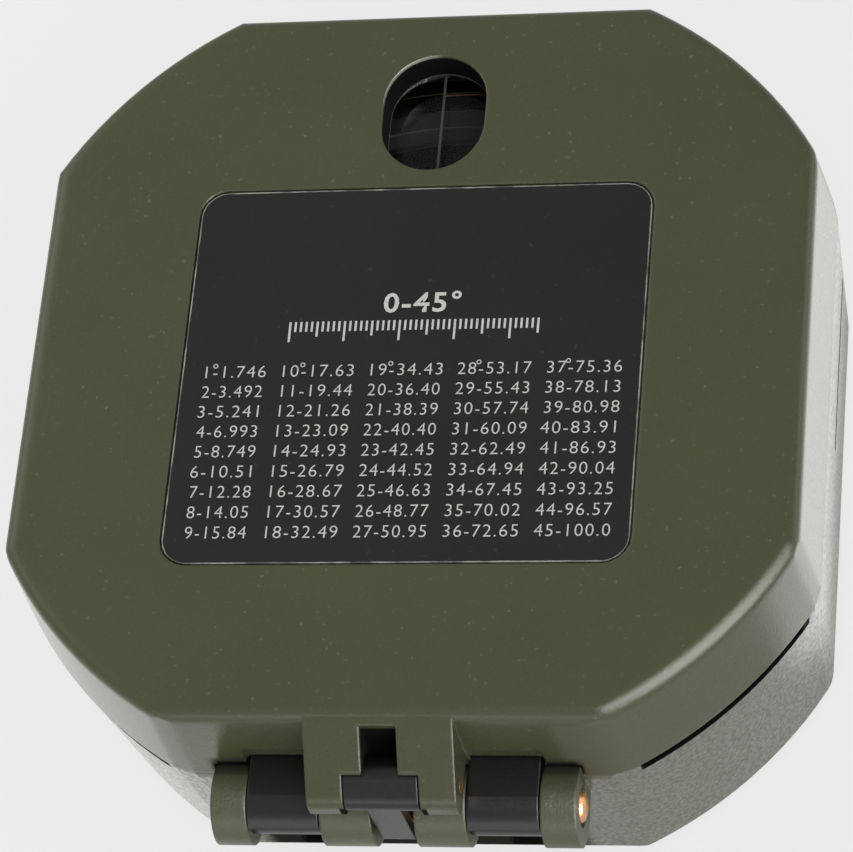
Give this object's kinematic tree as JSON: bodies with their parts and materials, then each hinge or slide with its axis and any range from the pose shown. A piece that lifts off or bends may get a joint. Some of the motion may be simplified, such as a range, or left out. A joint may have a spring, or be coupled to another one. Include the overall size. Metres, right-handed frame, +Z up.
{
  "type": "pocket transit compass",
  "caption": "Closed hand-held sighting compass: square metal case with round corners, mirror lid with window and number plate, folding sights, needle, degree ring and clinometer.",
  "frame": {"origin": "centre of the case's underside, on the plane it rests on", "axes": "+X to the right seen from the sight hinge, +Y to the lid hinge at the rear, +Z up through the lid"},
  "size_m": [0.0714, 0.0825, 0.0311],
  "materials": {
    "olive_paint": "matte olive paint, fine grain",
    "black_paint": "satin black paint",
    "number_plate": "satin black paint with white numbers",
    "copper_pin": "worn",
    "brass": "satin",
    "steel": "polished",
    "white_scale": "matte white paint with black marks",
    "needle_paint": "satin paint, dark and white halves",
    "clear_glass": "clear",
    "level_glass": "clear over pale green liquid",
    "mirror": "silvered",
    "gasket": "matte"
  },
  "bodies": {
    "base": {"base_case": "olive_paint", "scale_plate": "white_scale", "clinometer_bush": "brass", "lifter_post": "brass", "crystal_gasket": "gasket", "crystal": "clear_glass", "bezel": "black_paint", "sight_pin": "copper_pin", "lid_pin": "copper_pin"},
    "degree_ring": {"azimuth_ring": "number_plate"},
    "adjuster": {"adjuster_screw": "steel"},
    "plunger": {"lock_plunger": "brass"},
    "lifter": {"lifter_lever": "brass"},
    "clinometer": {"clinometer_lever": "steel", "clinometer_spindle": "steel", "level_bracket": "brass", "vial_holder": "brass", "vial": "level_glass", "vial_caps": "brass", "round_level_cup": "brass", "round_level_glass": "level_glass", "pivot_post": "steel"},
    "needle_body": {"needle": "needle_paint", "needle_cap": "brass", "needle_weight": "brass"},
    "arm": {"sight_arm": "black_paint", "peep_pin": "copper_pin"},
    "peep": {"peep_tip": "black_paint"},
    "lid_body": {"lid": "olive_paint", "lid_mirror": "mirror", "mirror_ring": "black_paint", "window_glass": "clear_glass", "label_plate": "number_plate", "front_sight_pin": "copper_pin"},
    "front_sight_body": {"front_sight": "black_paint"}
  },
  "joints": [
    {"name": "lid_hinge", "type": "hinge", "parent": "base", "child": "lid_body", "pos_m": [0, 0.0376, 0.0188], "axis": [-1, 0, 0], "range_deg": [0, 150]},
    {"name": "sight_hinge", "type": "hinge", "parent": "base", "child": "arm", "pos_m": [0, -0.0381, 0.0191], "axis": [1, 0, 0], "range_deg": [0, 150]},
    {"name": "peep_hinge", "type": "hinge", "parent": "arm", "child": "peep", "pos_m": [0, 0.0019, 0.0239], "axis": [-1, 0, 0], "range_deg": [0, 90]},
    {"name": "front_sight_hinge", "type": "hinge", "parent": "lid_body", "child": "front_sight_body", "pos_m": [0, -0.0386, 0.0249], "axis": [-1, 0, 0], "range_deg": [0, 180]},
    {"name": "needle_spin", "type": "hinge", "parent": "base", "child": "needle_body", "pos_m": [0, 0, 0.0125], "axis": [0, 0, 1], "continuous": true},
    {"name": "ring_spin", "type": "hinge", "parent": "base", "child": "degree_ring", "pos_m": [0, 0, 0.0125], "axis": [0, 0, 1], "continuous": true},
    {"name": "adjuster_turn", "type": "hinge", "parent": "base", "child": "adjuster", "pos_m": [-0.02249, -0.02249, 0.006], "axis": [0, 0, 1], "continuous": true},
    {"name": "plunger_slide", "type": "slide", "parent": "base", "child": "plunger", "axis": [0, 0, 1], "range_m": [0, 0.00047]},
    {"name": "lifter_rock", "type": "hinge", "parent": "base", "child": "lifter", "pos_m": [-0.01591, 0.01591, 0.0103], "axis": [0.7071, 0.7071, 0], "range_deg": [0, 2]},
    {"name": "clinometer_turn", "type": "hinge", "parent": "base", "child": "clinometer", "pos_m": [0, 0, 0.004], "axis": [0, 0, 1], "range_deg": [-70, 70]}
  ],
  "couplings": [
    {"joint": "sight_hinge", "follows": "lid_hinge", "ratio": 1},
    {"joint": "peep_hinge", "follows": "lid_hinge", "ratio": 0.6},
    {"joint": "plunger_slide", "follows": "lid_hinge", "m_per_rad": 0.0001795},
    {"joint": "lifter_rock", "follows": "lid_hinge", "ratio": 0.013333},
    {"joint": "adjuster_turn", "follows": "ring_spin", "ratio": -9.6}
  ]
}
